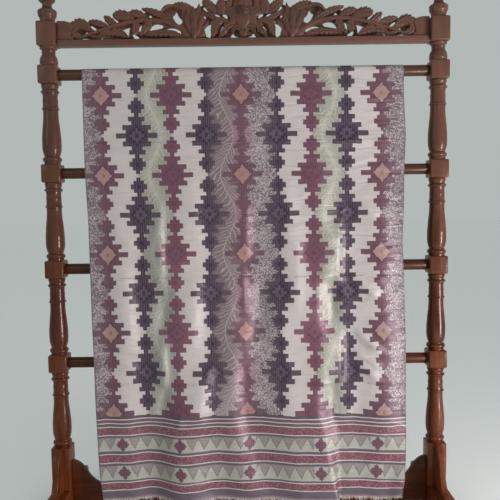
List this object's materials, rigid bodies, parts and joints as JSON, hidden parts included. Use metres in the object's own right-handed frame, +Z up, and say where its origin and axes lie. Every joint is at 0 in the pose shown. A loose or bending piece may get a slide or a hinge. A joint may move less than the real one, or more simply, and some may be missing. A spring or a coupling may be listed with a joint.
{
  "type": "batik long cloth on a turned wooden display stand",
  "caption": "Patterned batik long cloth hung over the top rod of a turned wooden display stand with a carved openwork crest.",
  "frame": {"origin": "on the floor, under the middle of the stand", "axes": "+Z up, +X to the right seen from the front, the cloth's face looks along -Y"},
  "size_m": [1.34, 0.4, 1.765],
  "materials": {
    "lacquered_wood": "red-brown lacquer, semi-gloss",
    "batik_cloth": "fine plain weave, matt",
    "thread": "loose cotton thread ends, matt"
  },
  "bodies": {
    "root": {"post_left": "lacquered_wood", "post_right": "lacquered_wood", "runner_left": "lacquered_wood", "runner_right": "lacquered_wood", "bracket_left_front": "lacquered_wood", "bracket_left_back": "lacquered_wood", "bracket_right_front": "lacquered_wood", "bracket_right_back": "lacquered_wood", "rod_1": "lacquered_wood", "rod_2": "lacquered_wood", "rod_3": "lacquered_wood", "rod_4": "lacquered_wood", "crest": "lacquered_wood", "apron": "lacquered_wood", "cloth": "batik_cloth", "fringe_front": "thread"}
  },
  "joints": []
}
